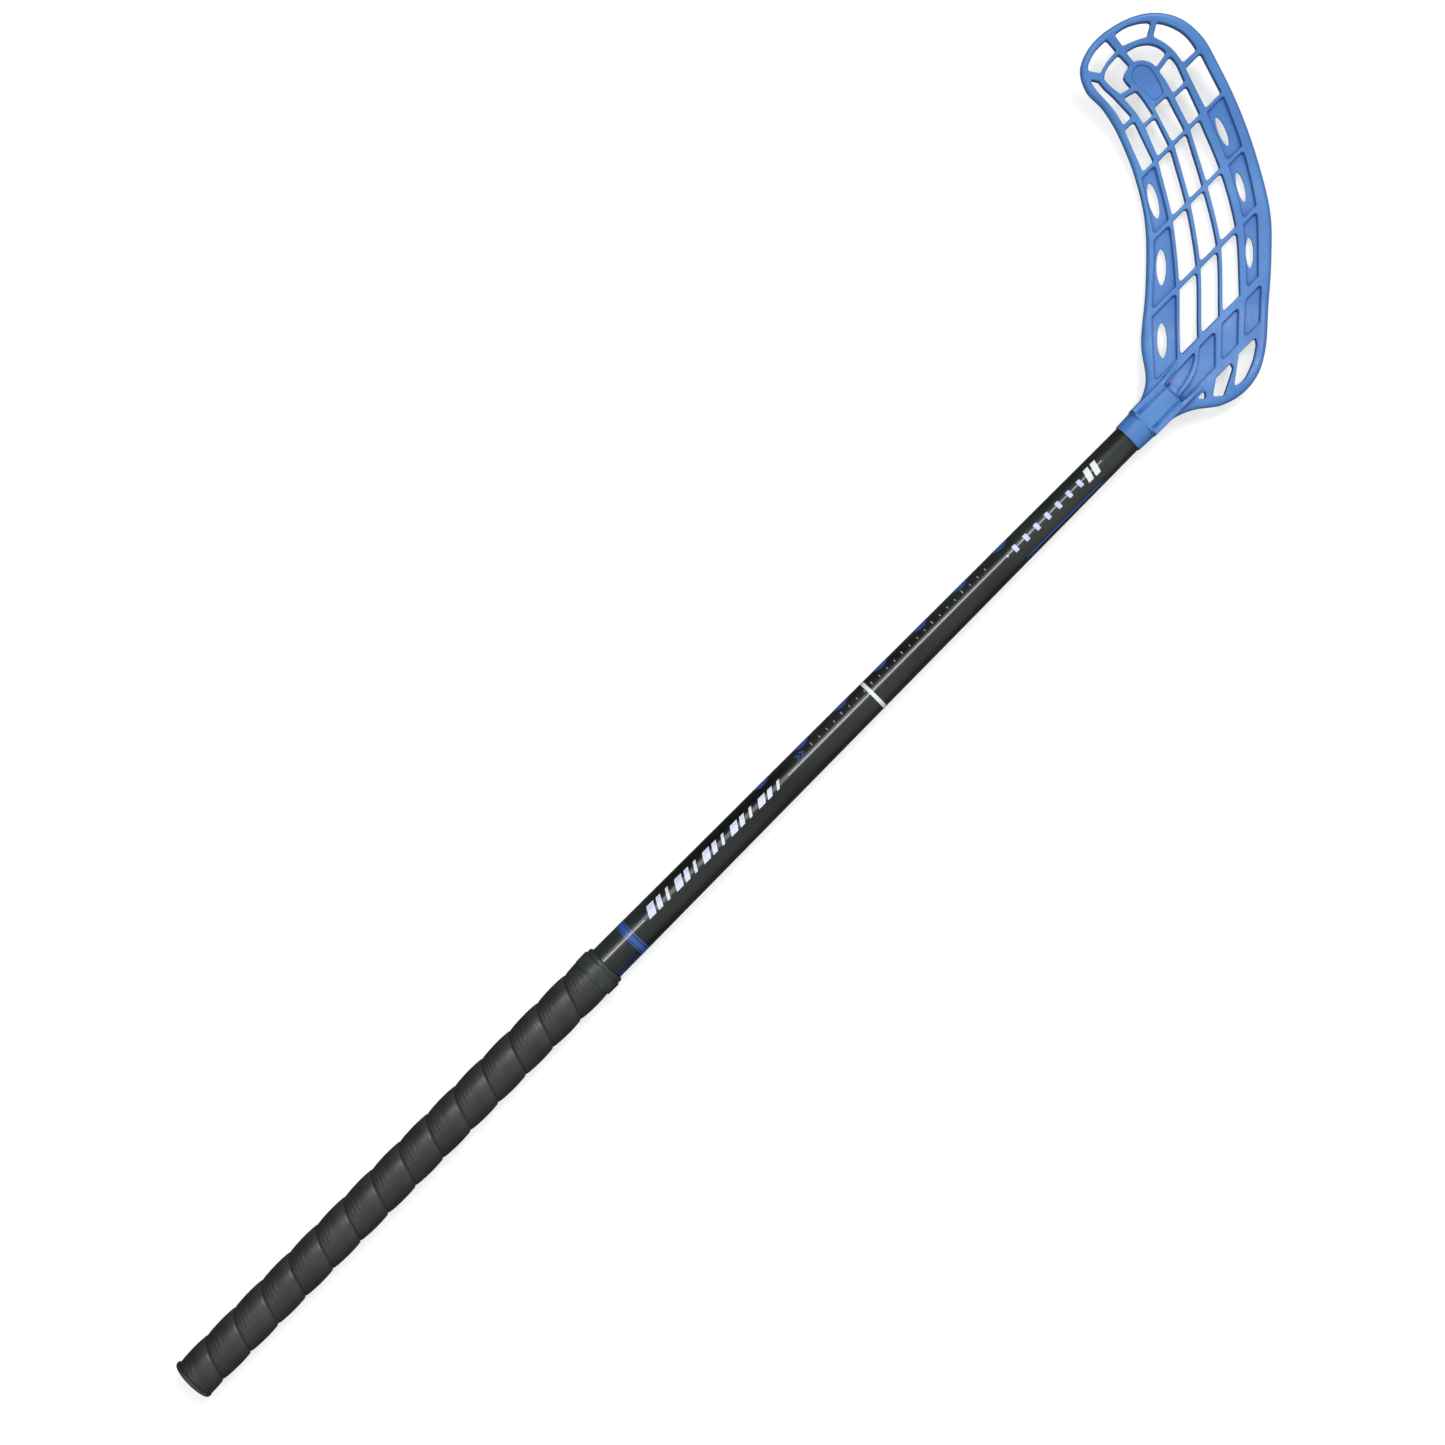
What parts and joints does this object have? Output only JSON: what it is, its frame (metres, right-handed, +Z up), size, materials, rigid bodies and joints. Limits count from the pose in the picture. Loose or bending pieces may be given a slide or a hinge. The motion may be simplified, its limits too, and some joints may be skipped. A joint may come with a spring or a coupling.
{
  "type": "floorball stick",
  "caption": "Floorball stick: tapered composite shaft, spiral-wrapped grip with rubber collar and a blue moulded lattice blade with a hooked face.",
  "frame": {"origin": "under the middle of the stick's bounding box, on the surface that it lies on", "axes": "+X along the shaft from the butt to the blade, +Y towards the tip of the blade, +Z up, out of the open face of the blade"},
  "size_m": [1.1404, 0.2428, 0.0375],
  "materials": {
    "shaft_lacquer": "clear-coated black composite with a fine weave",
    "black_rubber": "satin moulded rubber",
    "wrap_cushion": "satin cushioned polyurethane tape",
    "binding_tape": "satin tape",
    "blade_plastic": "satin moulded polyethylene",
    "hot_glue": "waxy",
    "screw_steel": "zinc plated",
    "print_blue": "gloss print under lacquer",
    "print_pale": "gloss print under lacquer",
    "print_white": "gloss print under lacquer"
  },
  "bodies": {
    "root": {"shaft_tube": "shaft_lacquer", "butt_cap": "black_rubber", "grip_wrap": "wrap_cushion", "finishing_tape": "binding_tape", "grip_collar": "black_rubber", "blade": "blade_plastic", "neck_glue": "hot_glue", "neck_screw": "screw_steel"}
  },
  "joints": []
}
